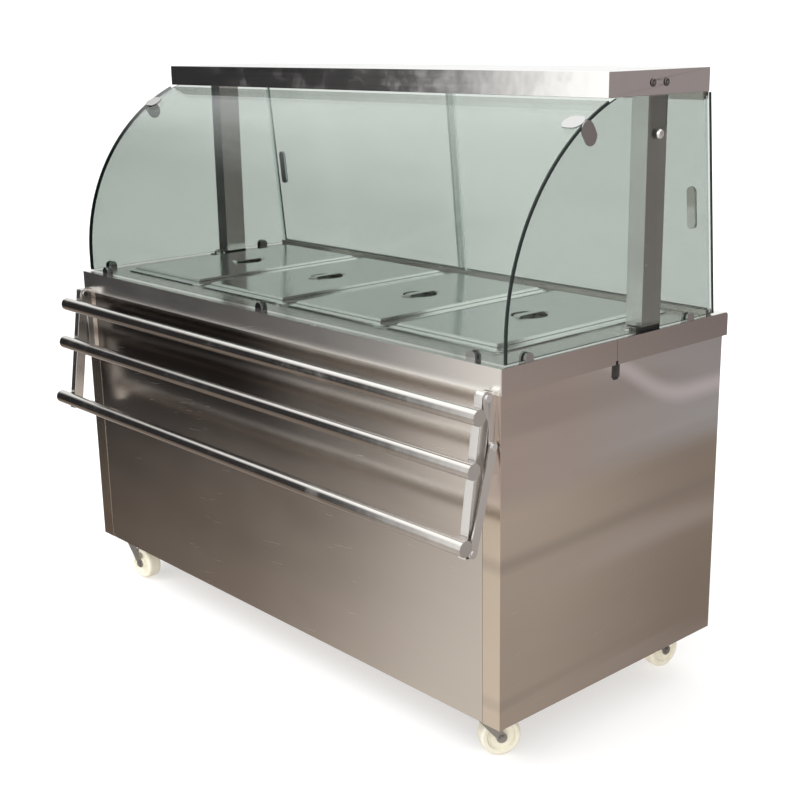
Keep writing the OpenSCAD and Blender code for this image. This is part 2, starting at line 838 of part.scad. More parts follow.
// Lid: flat rim, sloped shoulder, flat top with a round dish and a strap grip across it
module pan_lid(i) {
  w = pan_w - 2;
  l = pan_l - 2;
  top = lid_rise + pan_t;
  grip_half = dish_d/2 + strap_foot;
  color(steel) at_pan(i) translate([0, 0, lid_z]) {
    difference() {
      union() {
        linear_extrude(pan_t) rounded_rect(w, l, pan_r - 6);
        frustum(w - 2*lid_rim, l - 2*lid_rim, top, lid_slope);
      }
      translate([0, 0, -pan_t]) frustum(w - 2*lid_rim, l - 2*lid_rim, top, lid_slope);
      translate([0, 0, -1]) cylinder(h = top + 2, r = dish_d/2);
    }
    translate([0, 0, top - dish_depth]) difference() {
      cylinder(h = dish_depth, r = dish_d/2);
      translate([0, 0, pan_t]) cylinder(h = dish_depth, r = dish_d/2 - pan_t);
    }
    translate([-strap_w/2, 0, top]) along_x(0, strap_w) polygon([
      [-grip_half, 0], [strap_foot - grip_half, 0], [strap_foot - grip_half + 4, strap_arch],
      [grip_half - strap_foot - 4, strap_arch], [grip_half - strap_foot, 0], [grip_half, 0],
      [grip_half, strap_t], [grip_half - strap_foot, strap_t],
      [grip_half - strap_foot - 4, strap_arch + strap_t],
      [strap_foot - grip_half + 4, strap_arch + strap_t],
      [strap_foot - grip_half, strap_t], [-grip_half, strap_t]
    ]);
  }
}

// ---- Castors ----

// Swivel axis of castor i at the origin, with the wheel trailing along +X
module at_castor(i) {
  c = castors[i];
  place() translate([c[0]*castor_x, castor_y[c[1]], 0]) rotate([0, 0, c[2]]) children();
}

// Top plate with its bolts, the swivel raceway, and the kingpin with its nut
module castor_plates() {
  race_z = fork_z + crown_t + touch_gap;
  color(steel) for (i = [0:3]) {
    c = castors[i];
    place() translate([c[0]*castor_x, castor_y[c[1]], 0]) {
      box([-48, 48], [-38, 38], [ride_h - castor_plate_t, ride_h]);
      for (x = [-38, 38], y = [-28, 28]) translate([x, y, ride_h - castor_plate_t - 5])
        cylinder(h = 5.01, r = 7, $fn = 6);
      translate([0, 0, race_z]) cylinder(h = race_h, r = race_r);
      translate([0, 0, fork_z - 3]) cylinder(h = race_z - fork_z + 4, r = kingpin_r);
      translate([0, 0, fork_z - 3.5 - touch_gap]) cylinder(h = 3.5, r = 9);
    }
  }
}

// Pressed fork: a round crown over two tapered ears, with the axle bolt through them
module castor_fork(i) {
  axle_z = wheel_d/2;
  boss = 11;
  color(steel) at_castor(i) difference() {
    union() {
      translate([0, 0, fork_z]) cylinder(h = crown_t, r = race_r + 1);
      for (y = [-ear_y - ear_t, ear_y]) translate([0, y + ear_t, 0]) rotate([90, 0, 0])
        linear_extrude(ear_t) {
          polygon([[-17, fork_z + crown_t], [19, fork_z + crown_t],
                   [trail + boss, axle_z], [trail - boss, axle_z]]);
          translate([trail, axle_z]) circle(boss);
        }
      translate([trail, 0, axle_z]) {
        bar_y(-ear_y - ear_t - 5, ear_y + ear_t + 5, axle_r);
        for (y = [-ear_y - ear_t - 4, ear_y + ear_t]) translate([0, y, 0])
          rotate([-90, 0, 0]) cylinder(h = 4, r = 7, $fn = 6);
      }
    }
    translate([0, 0, fork_z - 1]) cylinder(h = crown_t + 2, r = kingpin_r + run_gap);
  }
}

// Moulded wheel: rounded tread, recessed web and a raised hub
module castor_wheel(i) {
  r = wheel_d/2;
  hub_r = 13;
  rim_r = r*0.72;
  tread = wheel_w/2;
  web = wheel_w*0.3;
  bore = axle_r + run_gap;
  half_profile = [
    [hub_r, hub_w/2], [hub_r + 2, web], [rim_r - 3, web], [rim_r, tread], [r - 5, tread],
    [r - 2, tread - 2], [r - 0.6, tread - 5], [r, tread - 9]
  ];
  color(nylon) at_castor(i) translate([trail, 0, r]) rotate([90, 0, 0]) rotate_extrude()
    polygon(concat(
      [[bore, -hub_w/2]],
      [for (p = half_profile) [p[0], -p[1]]],
      [for (k = [len(half_profile) - 1:-1:0]) half_profile[k]],
      [[bore, hub_w/2]]
    ));
}

side_panel(-1);  // side_panel_left
side_panel(1);  // side_panel_right
front_panel();
bottom_pan();
rear_panel();
worktop();
pan_dividers();
water_tank();
heating_element();
drain_valve();
control_panel();
pilot_lamp();
cable_gland();
post(-1);  // post_left
post(1);  // post_right
post_gaskets();
post_fixings();
overshelf();
front_glass();
side_glass(-1);  // side_glass_left
side_glass(1);  // side_glass_right
glass_clips();
corner_clips();
door_track_lower();
door_track_upper();
glass_door(-1);  // glass_door_left
glass_door(1);  // glass_door_right
door_pull(-1);  // door_pull_left
door_pull(1);  // door_pull_right
wall_channel(-1);  // wall_channel_left
wall_channel(1);  // wall_channel_right
tray_pivot_bolts();
tray_arm(-1);  // tray_arm_left
tray_arm(1);  // tray_arm_right
tray_tube(0);  // tray_tube_upper
tray_tube(1);  // tray_tube_middle
tray_tube(2);  // tray_tube_lower
tube_saddles();
strut(-1);  // strut_left
strut(1);  // strut_right
food_pan(0);  // food_pan_1
food_pan(1);  // food_pan_2
food_pan(2);  // food_pan_3
food_pan(3);  // food_pan_4
pan_lid(0);  // pan_lid_1
pan_lid(1);  // pan_lid_2
pan_lid(2);  // pan_lid_3
pan_lid(3);  // pan_lid_4
thermostat_knob();
power_switch();
drain_lever();
castor_plates();
castor_fork(0);  // castor_fork_fl
castor_fork(1);  // castor_fork_fr
castor_fork(2);  // castor_fork_rl
castor_fork(3);  // castor_fork_rr
castor_wheel(0);  // castor_wheel_fl
castor_wheel(1);  // castor_wheel_fr
castor_wheel(2);  // castor_wheel_rl
castor_wheel(3);  // castor_wheel_rr
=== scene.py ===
import json
import math

import bmesh
import bpy
from mathutils import Matrix, Vector


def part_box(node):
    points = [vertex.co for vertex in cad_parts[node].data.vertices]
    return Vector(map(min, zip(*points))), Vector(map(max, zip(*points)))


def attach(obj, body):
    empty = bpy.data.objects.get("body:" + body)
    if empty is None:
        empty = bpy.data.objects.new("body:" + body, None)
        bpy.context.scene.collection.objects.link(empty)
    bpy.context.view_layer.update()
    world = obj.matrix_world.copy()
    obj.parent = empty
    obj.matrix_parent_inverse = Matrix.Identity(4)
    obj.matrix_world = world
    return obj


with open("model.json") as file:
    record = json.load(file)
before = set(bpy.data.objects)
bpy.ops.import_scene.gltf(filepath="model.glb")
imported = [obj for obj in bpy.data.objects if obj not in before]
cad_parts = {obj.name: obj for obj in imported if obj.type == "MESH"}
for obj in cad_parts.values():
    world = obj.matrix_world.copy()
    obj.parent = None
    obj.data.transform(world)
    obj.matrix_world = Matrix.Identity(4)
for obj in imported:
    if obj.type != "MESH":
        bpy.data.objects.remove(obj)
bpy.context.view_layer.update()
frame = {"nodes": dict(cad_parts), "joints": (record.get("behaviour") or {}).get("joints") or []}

bl_info = {
    "name": "Steam table finishes",
    "version": (1, 0, 0),
    "blender": (4, 5, 0),
    "location": "3D View > Sidebar > Steam table",
    "description": "Finishes, small fittings and a studio for a four-pan steam table on castors",
    "category": "Object",
}

SHEET_NODES = {
    "front_panel": ("X", 1.0),
    "side_panel_left": ("Y", 1.0),
    "side_panel_right": ("Y", 1.0),
    "rear_panel": ("X", 0.7),
    "bottom_pan": ("X", 0.7),
}
FRAME_NODES = ("post_left", "post_right", "wall_channel_left", "wall_channel_right", "strut_left",
               "strut_right", "tray_arm_left", "tray_arm_right")
TUBE_NODES = ("tray_tube_upper", "tray_tube_middle", "tray_tube_lower", "tube_saddles")
BRIGHT_NODES = ("glass_clips", "corner_clips", "post_fixings", "door_pull_left", "door_pull_right",
                "tray_pivot_bolts")
PANS = range(1, 5)
CASTORS = ("fl", "fr", "rl", "rr")

BLACK = (0.0, 0.0, 0.0)
WHITE = (1.0, 1.0, 1.0)
SCRATCHED = (0.9, 0.88, 0.86)
WORKTOP_STEEL = (0.80, 0.78, 0.755)
POST_STEEL = (0.84, 0.83, 0.82)
TUBE_STEEL = (0.62, 0.60, 0.575)
CLIP_STEEL = (0.45, 0.45, 0.45)
FITTING_STEEL = (0.82, 0.82, 0.82)
SCREW_STEEL = (0.70, 0.69, 0.66)
SHELF_SCREW_STEEL = (0.13, 0.12, 0.115)
FASCIA_STEEL = (0.70, 0.69, 0.68)
VALVE_ZINC = (0.62, 0.60, 0.56)

GRAIN_DEPTH = 0.0000012
SCRATCH_DEPTH = 0.000006
RIPPLE_DEPTH = 0.0032
SEAM_SHARE = 0.471  # the seam's place in the apron's end, as a share from front to back
FINE_EDGE = 0.0004


# ---- Shader expressions ----

class Socket:
    """A node's output in a shader expression; each operator adds the Math node it stands for."""

    def __init__(self, paint, socket):
        self.paint = paint
        self.socket = socket

    def math(self, operation, *values):
        return self.paint.node("ShaderNodeMath", {"operation": operation},
                               dict(enumerate((self,) + values)))

    def __add__(self, other):
        return self.math("ADD", other)

    def __sub__(self, other):
        return self.math("SUBTRACT", other)

    def __mul__(self, other):
        return self.math("MULTIPLY", other)

    def __pow__(self, other):
        return self.math("POWER", other)

    def __rsub__(self, other):
        return self.math("MULTIPLY_ADD", -1.0, other)

    def __neg__(self):
        return self.math("MULTIPLY", -1.0)

    def __abs__(self):
        return self.math("ABSOLUTE")

    __radd__ = __add__
    __rmul__ = __mul__

    def sine(self):
        return self.math("SINE")

    def over(self, limit):
        return self.math("GREATER_THAN", limit)

    def under(self, limit):
        return self.math("LESS_THAN", limit)

    def most(self, other):
        return self.math("MAXIMUM", other)

    def least(self, other):
        return self.math("MINIMUM", other)

    def ramp(self, low, high, start=0.0, end=1.0):
        """Eases from start to end while this value goes from low to high."""
        return self.paint.node(
            "ShaderNodeMapRange", {"interpolation_type": "SMOOTHSTEP", "clamp": True},
            {"Value": self, "From Min": low, "From Max": high, "To Min": start, "To Max": end})


class Paint:
    """One node tree, built from expressions."""

    def __init__(self, tree):
        tree.nodes.clear()
        self.tree = tree

    def feed(self, socket, value):
        if isinstance(value, Socket):
            self.tree.links.new(value.socket, socket)
        else:
            socket.default_value = value

    def node(self, kind, settings=None, values=None, output=0):
        made = self.tree.nodes.new(kind)
        for name, value in (settings or {}).items():
            if name == "stops":
                ramp = made.color_ramp
                while len(ramp.elements) < len(value):
                    ramp.elements.new(0.5)
                for element, (place, colour) in zip(ramp.elements, value):
                    element.position = place
                    element.color = rgba(colour)
            else:
                setattr(made, name, value)
        for name, value in (values or {}).items():
            self.feed(made.inputs[name], value)
        return Socket(self, made.outputs[output])

    def place(self):
        return self.node("ShaderNodeTexCoord", output="Object")

    def parts(self, vector):
        split = self.node("ShaderNodeSeparateXYZ", {}, {0: vector})
        outs = split.socket.node.outputs
        return tuple(Socket(self, outs[i]) for i in range(3))

    def times(self, vector, scale):
        return self.node("ShaderNodeVectorMath", {"operation": "MULTIPLY"}, {0: vector, 1: scale})

    def noise(self, vector, scale, detail=3.0, rough=0.5, warp=0.0):
        return self.node("ShaderNodeTexNoise", {}, {
            "Vector": self.times(vector, scale), "Scale": 1.0, "Detail": detail,
            "Roughness": rough, "Distortion": warp})

    def cells(self, vector, scale):
        return self.node("ShaderNodeTexVoronoi", {},
                         {"Vector": self.times(vector, scale), "Scale": 1.0})

    def mix(self, factor, first, second):
        """Blends two colours; the Mix node's colour sockets are found by number."""
        node = self.node("ShaderNodeMix", {"data_type": "RGBA"}).socket.node
        self.feed(node.inputs[0], factor)
        for slot, value in ((6, first), (7, second)):
            self.feed(node.inputs[slot], value if isinstance(value, Socket) else rgba(value))
        return Socket(self, node.outputs[2])

    def bump(self, height, depth, strength=1.0, normal=None):
        values = {"Height": height, "Distance": depth, "Strength": strength}
        if normal is not None:
            values["Normal"] = normal
        return self.node("ShaderNodeBump", {}, values)

    def principled(self, **values):
        return self.node("ShaderNodeBsdfPrincipled", {},
                         {name.replace("_", " "): value for name, value in values.items()})

    def close(self, shader, kind="ShaderNodeOutputMaterial"):
        self.tree.links.new(shader.socket, self.tree.nodes.new(kind).inputs["Surface"])


def rgba(colour):
    return (*colour, 1.0)


def material(name):
    made = bpy.data.materials.new(name)
    made.use_nodes = True
    return made, Paint(made.node_tree)


ALONG, ACROSS = 5.0, 1400.0
GRAIN = {
    "X": (ALONG, ACROSS, ACROSS),
    "Y": (ACROSS, ALONG, ACROSS),
    "Z": (ACROSS, ACROSS, ALONG),
}


def wear(paint, place, axis):
    """Fine scratches a little off the grain: 1 on a scratch, 0 elsewhere."""
    x, y, z = paint.parts(place)
    along, across, other = {"X": (x, z, y), "Y": (y, z, x), "Z": (z, x, y)}[axis]
    long, fine = 9.0, 620.0
    lines = paint.noise(paint.node("ShaderNodeCombineXYZ", {}, {
        0: (along + across * 0.3) * long, 1: (across - along * 0.12) * fine, 2: other * fine}),
        (1.0, 1.0, 1.0), 1.0)
    patch = paint.noise(place, (6.0, 6.0, 6.0), 2.0)
    return lines.ramp(0.70, 0.78) * patch.ramp(0.48, 0.62)


def brushed_steel(name, colour, rough, axis="X", grain=1.0, ripple=0.0, shade=None):
    """Brushed sheet: directional grain, scratches, smudges and a slow ripple of the sheet."""
    made, paint = material(name)
    place = paint.place()
    streak = paint.noise(place, GRAIN[axis], 3.0, 0.6)
    broad = paint.noise(place, tuple(v * 0.06 for v in GRAIN[axis]), 2.0)
    cloud = paint.noise(place, (3.1, 3.7, 4.3), 4.0, 0.6)
    scratch = wear(paint, place, axis)
    value = 0.92 + streak * 0.06 + broad * 0.035 + cloud * 0.035
    base = paint.mix(value, BLACK, colour)
    # shade paints colour by place: painted reflection, shade and highlights on the cabinet sheets,
    # apron and lids, and real chalk scale on the tank.
    if shade is not None:
        base = shade(paint, place, base)
    base = paint.mix(scratch * 0.16, base, SCRATCHED)
    gloss = rough + (streak - 0.5) * 0.07 * grain + (cloud - 0.5) * 0.08 + scratch * 0.1
    normal = paint.bump(streak * grain, GRAIN_DEPTH)
    if ripple:
        slow = paint.noise(place, (1.6, 1.5, 4.6), 1.0, 0.35, 0.3)
        normal = paint.bump(slow, RIPPLE_DEPTH * ripple, 1.0, normal)
    normal = paint.bump(scratch, -SCRATCH_DEPTH, 1.0, normal)
    paint.close(paint.principled(Base_Color=base, Metallic=1.0, Roughness=gloss, Normal=normal))
    return made


def polished_steel(name, colour, rough=0.12):
    """Polished steel with faint buffing lines, small dents and handling marks."""
    made, paint = material(name)
    place = paint.place()
    buff = paint.noise(place, tuple(v * 0.4 for v in GRAIN["X"]), 2.0)
    cloud = paint.noise(place, (14.0, 17.0, 15.0), 3.0, 0.6)
    dent = paint.noise(place, (30.0, 30.0, 30.0), 1.0)
    base = paint.mix(0.9 + buff * 0.1, BLACK, colour)
    base = paint.mix(cloud.ramp(0.55, 0.8) * 0.18, base, tuple(c * 0.72 for c in colour))
    gloss = rough + (buff - 0.5) * 0.08 + cloud.ramp(0.5, 0.75) * 0.10
    normal = paint.bump(dent, 0.0002, 0.7, paint.bump(buff, 0.00002))
    paint.close(paint.principled(Base_Color=base, Metallic=1.0, Roughness=gloss, Normal=normal))
    return made


def zinc_steel(name, colour):
    """Zinc plate: small crystals, slightly cloudy, with dust in patches."""
    made, paint = material(name)
    place = paint.place()
    cells = paint.cells(place, (420.0, 420.0, 420.0))
    cloud = paint.noise(place, (40.0, 36.0, 44.0), 4.0, 0.6)
    base = paint.mix(0.82 + cells * 0.3, BLACK, colour)
    base = paint.mix(cloud.ramp(0.55, 0.8) * 0.5, base, (0.33, 0.29, 0.24))
    gloss = 0.34 + cloud * 0.2 + cells * 0.08
    paint.close(paint.principled(Base_Color=base, Metallic=1.0, Roughness=gloss,
                                 Normal=paint.bump(cells + cloud, 0.00012, 0.6)))
    return made


def pane_glass(name, tint, edge, edge_test, painted_glow=0.0):
    """Tinted pane: clear on its faces, with a dense polished edge where edge_test gives 1; that
    edge can emit painted light.
    """
    made, paint = material(name)
    place = paint.place()
    smear = paint.noise(place, (1.3, 2.4, 9.0), 4.0, 0.55, 1.1)
    edge_mask = edge_test(paint)
    clear = paint.node("ShaderNodeBsdfTransparent", {}, {"Color": rgba(tint)})
    sheen = paint.principled(Base_Color=(0.93, 0.96, 0.96, 1.0), Metallic=1.0,
                             Roughness=0.03 + smear.ramp(0.45, 0.8) * 0.05)
    # Emission on the rim is painted light, making a ground edge look lit.
    rim = paint.principled(
        Base_Color=paint.mix(paint.noise(place, (90.0, 90.0, 90.0), 2.0), edge,
                             tuple(min(1.0, c * 1.8 + 0.003) for c in edge)),
        Roughness=0.22, Coat_Weight=0.2, Emission_Color=rgba(edge), Emission_Strength=painted_glow)
    facing = paint.node("ShaderNodeLayerWeight", {}, {"Blend": 0.5}, output="Facing")
    mirror = facing ** 5.0 * 0.9 + 0.03 + smear.ramp(0.5, 0.72) * 0.03
    face = paint.node("ShaderNodeMixShader", {}, {0: mirror, 1: clear, 2: sheen})
    paint.close(paint.node("ShaderNodeMixShader", {}, {0: edge_mask, 1: face, 2: rim}))
    return made


def normal_along(paint, direction):
    """How closely the surface faces along a direction, either way: 0 to 1."""
    facing = paint.node("ShaderNodeNewGeometry", output="True Normal")
    return abs(paint.node("ShaderNodeVectorMath", {"operation": "DOT_PRODUCT"},
                          {0: facing, 1: direction}, output="Value"))


def moulded(name, colour, rough=0.4, coat=0.0, dirt=None):
    """Moulded plastic or rubber: fine orange peel, uneven tone and some grime."""
    made, paint = material(name)
    place = paint.place()
    peel = paint.noise(place, (260.0, 260.0, 260.0), 2.0)
    cloud = paint.noise(place, (28.0, 31.0, 26.0), 4.0, 0.6)
    base = paint.mix(0.92 + (cloud - 0.5) * 0.24, BLACK, colour)
    if dirt:
        base = paint.mix(cloud.ramp(0.5, 0.75) * 0.55, base, dirt)
    gloss = rough + (cloud - 0.5) * 0.2 + (peel - 0.5) * 0.05
    paint.close(paint.principled(Base_Color=base, Roughness=gloss, Coat_Weight=coat,
                                 Normal=paint.bump(peel, 0.00008, 0.5)))
    return made


# ---- Mesh building ----

def band(bm, first, second):
    """Joins two closed rings of vertices with faces."""
    for k in range(len(first)):
        j = (k + 1) % len(first)
        bm.faces.new((first[k], first[j], second[j], second[k]))


def turned(bm, profile, centre, axis, steps):
    """Revolves a profile of (distance along the axis, radius), which may start on the axis."""
    centre, axis = Vector(centre), Vector(axis).normalized()
    side = axis.orthogonal().normalized()
    other = axis.cross(side)
    rings = []
    for along, radius in profile:
        if radius < 1e-6:
            rings.append([bm.verts.new(centre + axis * along)])
            continue
        ring = []
        for i in range(steps):
            a = 2 * math.pi * i / steps
            out = side * math.cos(a) + other * math.sin(a)
            ring.append(bm.verts.new(centre + axis * along + out * radius))
        rings.append(ring)
    for a, b in zip(rings, rings[1:]):
        if len(a) > 1:
            band(bm, a, b)
            continue
        for i in range(steps):
            bm.faces.new((a[0], b[(i + 1) % steps], b[i]))


def block(bm, low, high, round_by):
    """A box between two corners with its edges rounded."""
    low, high = Vector(low), Vector(high)
    verts = bmesh.ops.create_cube(bm, size=1.0)["verts"]
    size = high - low
    for v in verts:
        v.co = Vector(v.co[i] * size[i] for i in range(3)) + (low + high) / 2
    edges = {e for v in verts for e in v.link_edges}
    bmesh.ops.bevel(bm, geom=list(edges), offset=round_by, segments=2, affect="EDGES",
                    profile=0.5)


def pan_head(bm, centre, axis, radius, rise):
    """A pan-head screw with a cross recess."""
    centre, axis = Vector(centre), Vector(axis).normalized()
    side = axis.orthogonal().normalized()
    other = axis.cross(side)
    rings, steps = 9, 40
    rows = []
    for i in range(rings + 1):
        r = i / rings
        row = []
        for k in range(steps):
            a = 2 * math.pi * k / steps
            u, v = r * math.cos(a), r * math.sin(a)
            lift = math.sqrt(max(0.0, 1.0 - (r * 0.96) ** 2.6))
            cross = max(0.0, 1.0 - min(abs(u), abs(v)) / 0.16) * max(0.0, 1.0 - r / 0.62)
            h = rise * (lift - min(0.7, cross * 1.2))
            row.append(bm.verts.new(centre + side * u * radius + other * v * radius + axis * h))
        rows.append(row)
    for a, b in zip(rows[1:], rows[2:]):
        band(bm, a, b)
    hub = rows[0][0]
    for k in range(steps):
        bm.faces.new((hub, rows[1][k], rows[1][(k + 1) % steps]))
    for spare in rows[0][1:]:
        bm.verts.remove(spare)


def smooth_mesh(name, bm):
    """Turns a bmesh into a smooth-shaded mesh."""
    bmesh.ops.recalc_face_normals(bm, faces=bm.faces)
    mesh = bpy.data.meshes.new(name)
    bm.to_mesh(mesh)
    bm.free()
    mesh.shade_smooth()
    return mesh


def piece(name, bm, finish, body, sharp=35.0):
    """Turns a bmesh into an object that moves with a body and takes a finish."""
    mesh = smooth_mesh(name, bm)
    mesh.set_sharp_from_angle(angle=math.radians(sharp))
    made = bpy.data.objects.new(name, mesh)
    bpy.context.scene.collection.objects.link(made)
    mesh.materials.append(finish)
    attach(made, body)


def dress(node, finish, round_by=0.0):
    """Gives a CAD node its finish, and softens its sharp edges by round_by metres."""
    found = frame["nodes"][node]
    slots = found.data.materials
    if len(slots) == 0:
        slots.append(finish)
    for i in range(len(slots)):
        slots[i] = finish
    if round_by:
        weld = found.modifiers.new("Weld", "WELD")
        weld.merge_threshold = 0.00002
        soft = found.modifiers.new("Soft edges", "BEVEL")
        soft.width = round_by
        soft.segments = 2
        soft.limit_method = "ANGLE"
        soft.angle_limit = math.radians(30.0)
        soft.use_clamp_overlap = True
        soft.harden_normals = False
        even = found.modifiers.new("Even shading", "WEIGHTED_NORMAL")
        even.keep_sharp = True


def seam_place():
    """Where the seam in the apron's ends lies, from front to back."""
    low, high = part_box("worktop")
    return low.y + (high.y - low.y) * SEAM_SHARE


# ---- Settings ----

def colour_property(name, text, default):
    return bpy.props.FloatVectorProperty(name=name, description=text, default=default,
                                         subtype="COLOR", size=3, min=0.0, max=1.0)


def length_property(name, text, default):
    return bpy.props.FloatProperty(name=name, description=text, default=default, unit="LENGTH",
                                   min=0.0, precision=4)


class SteelSettings(bpy.types.PropertyGroup):
    body: colour_property("Body steel", "Colour of the brushed cabinet sheet", (0.66, 0.62, 0.58))
    frame: colour_property("Frame steel", "Colour of posts, arms and channels", (0.72, 0.70, 0.68))
    polished: colour_property("Polished steel", "Colour of the overshelf and tubes",
                              (0.80, 0.79, 0.78))
    pan: colour_property("Pan steel", "Colour of pans, lids and tank", (0.92, 0.93, 0.92))
    zinc: colour_property("Zinc", "Colour of the plated castor parts", (0.33, 0.32, 0.30))
    roughness: bpy.props.FloatProperty(name="Roughness", default=0.20, min=0.02, max=1.0,
                                       description="Roughness of the brushed sheet")
    edge: length_property("Edge rounding", "Rounding of folded edges", 0.0007)


class GlassSettings(bpy.types.PropertyGroup):
    tint: colour_property("Tint", "What one face of a pane lets through", (0.765, 0.789, 0.772))
    edge: colour_property("Edge", "Colour of the fixed panes' polished edge",
                          (0.002, 0.010, 0.008))
    door_edge: colour_property("Door edge", "Colour of the doors' ground edge",
                               (0.74, 0.84, 0.84))
    edge_band: length_property("Edge band", "Width of the dark band beside a polished edge",
                               0.0034)


class PlasticSettings(bpy.types.PropertyGroup):
    wheel: colour_property("Wheel", "Colour of the nylon wheels", (0.97, 0.94, 0.80))
    black: colour_property("Black", "Colour of rubber and black plastic", (0.018, 0.018, 0.019))
    red: colour_property("Red", "Colour of the rocker and the lever's sleeve", (0.50, 0.03, 0.02))
    amber: colour_property("Amber", "Colour of the pilot lamp", (0.90, 0.30, 0.04))


class FittingSettings(bpy.types.PropertyGroup):
    screw: length_property("Screw head", "Radius of the panel screws' heads", 0.0042)
    louvre: length_property("Louvre", "How far a louvre stands out", 0.007)
    clip: length_property("Clip", "Thickness of the black seam clips", 0.0018)
    seam: length_property("Seam", "Width of the seam in the apron", 0.0011)


class StageSettings(bpy.types.PropertyGroup):
    floor: colour_property("Floor", "Colour of the studio floor", (0.60, 0.60, 0.60))
    eye: bpy.props.FloatVectorProperty(name="Camera place", description="Where the camera stands",
                                       default=(2.3414, -1.9838, 1.4166), subtype="XYZ",
                                       unit="LENGTH")
    azimuth: bpy.props.FloatProperty(name="Azimuth", default=math.radians(48.08), unit="ROTATION",
                                     description="Turn of the camera about the vertical")
    downward: bpy.props.FloatProperty(name="Downward", default=math.radians(15.33),
                                      unit="ROTATION", description="How far the camera looks down")
    roll: bpy.props.FloatProperty(name="Roll", default=math.radians(-0.963), unit="ROTATION",
                                  description="Turn of the camera about its own line of sight")
    lens: bpy.props.FloatProperty(name="Lens", default=59.58, unit="CAMERA",
                                  description="Focal length on a 36 mm sensor")
    shift: bpy.props.FloatVectorProperty(name="Shift", default=(-0.0014, -0.0061), size=2,
                                         description="Camera shift, across and up")
    fill: bpy.props.FloatProperty(name="Room light", default=1.0, min=0.0,
                                  description="Strength of the room's light")
    key: bpy.props.FloatProperty(name="Key light", default=1.2, min=0.0,
                                 description="Strength of the soft light from above")


# ---- Operators ----

class Finish:
    """What the operators share."""
    bl_options = {"REGISTER", "UNDO"}


class STEAM_OT_cabinet(Finish, bpy.types.Operator):
    """Finishes the cabinet's brushed sheets"""
    bl_idname = "steam.cabinet"
    bl_label = "Cabinet sheets"

    def execute(self, context):
        steel = context.scene.steam_steel
        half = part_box("front_panel")[1].x
        seam = context.scene.steam_fittings.seam
        low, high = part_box("side_panel_right")
        tall = high.z - low.z

        # Painted light on the front sheet: a painted dark reflection on the left, a painted shadow
        # at the upper left and a painted highlight at the upper right. joint is the dark seam at
        # the sheet's ends.
        dark_reflection_grey, shadow = (0.30, 0.25, 0.22), (0.05, 0.042, 0.036)
        glare, joint = (0.98, 0.93, 0.88), (0.05, 0.045, 0.04)

        def front_painted_light_and_seam(paint, place, base):
            x, _, z = paint.parts(place)
            warm = paint.noise(place, (1.4, 1.0, 2.6), 2.0)
            # Painted dark reflection, strongest on the left.
            left = (x + warm * 0.3).ramp(-half, half * 0.6)
            base = paint.mix(left, paint.mix(0.25, base, dark_reflection_grey), base)
            upper = z.ramp(low.z + tall * 0.5, low.z + tall * 0.78)
            # Painted shadow at the upper left, below the apron.
            base = paint.mix((x + warm * 0.2).ramp(0.32, -0.02) * upper * 0.86, base, shadow)
            # Painted highlight at the upper right.
            base = paint.mix(x.ramp(0.2, half) * upper * 0.8, base, glare)
            return paint.mix(abs(x).over(half - seam) * 0.85, base, joint)

        def side_painted_reflection(paint, place, base):
            # Painted reflection on the side sheets: warmer tones low and bluer tones high, light
            # and dark reflection bands, a painted highlight along a falling curve and a dark band
            # across the middle.
            _, y, z = paint.parts(place)
            back = y.ramp(low.y, high.y)
            rise = low.z + tall * 0.66
            reflected_tan, reflected_brown = (0.70, 0.61, 0.50), (0.34, 0.27, 0.20)
            reflected_rose, reflected_cool = (0.60, 0.50, 0.45), (0.55, 0.56, 0.57)
            lower, upper = paint.mix(back, reflected_tan, reflected_brown), paint.mix(back, reflected_rose, reflected_cool)
            tone = paint.mix(z.ramp(rise - 0.05, rise + 0.02), lower, upper)
            reflection_wave = paint.noise(place, (0.3, 0.8, 9.0), 1.0, 0.4, 0.4)
            tone = paint.mix(reflection_wave.ramp(0.50, 0.72) * back.ramp(0.0, 0.6, 0.10, 0.40), tone,
                             (0.80, 0.75, 0.75))
            tone = paint.mix(reflection_wave.ramp(0.46, 0.28) * 0.32, tone, (0.32, 0.27, 0.24))
            # Painted highlight along a curve that falls towards the back.
            sweep = high.z - tall * 0.035 - back.ramp(0.30, 0.95) * tall * 0.17
            glint = abs(z - sweep).ramp(tall * 0.045, 0.0) * back.ramp(0.12, 0.5)
            tone = paint.mix(glint * 0.75, tone, (0.95, 0.91, 0.95))
            # Painted dark reflection band across the middle.
            dark_reflection_band = abs(z - back * tall * 0.02 - (low.z + tall * 0.47)).ramp(tall * 0.035, 0.0)
            tone = paint.mix(dark_reflection_band * 0.35, tone, (0.26, 0.22, 0.20))
            return paint.mix(0.8, base, tone)

        for node, (axis, ripple) in SHEET_NODES.items():
            shade = front_painted_light_and_seam if node == "front_panel" else None
            if node.startswith("side"):
                shade = side_painted_reflection
            finish = brushed_steel(node + "_sheet", steel.body, steel.roughness, axis,
                                   ripple=ripple, shade=shade)
            dress(node, finish, steel.edge * 0.5)
        return {"FINISHED"}


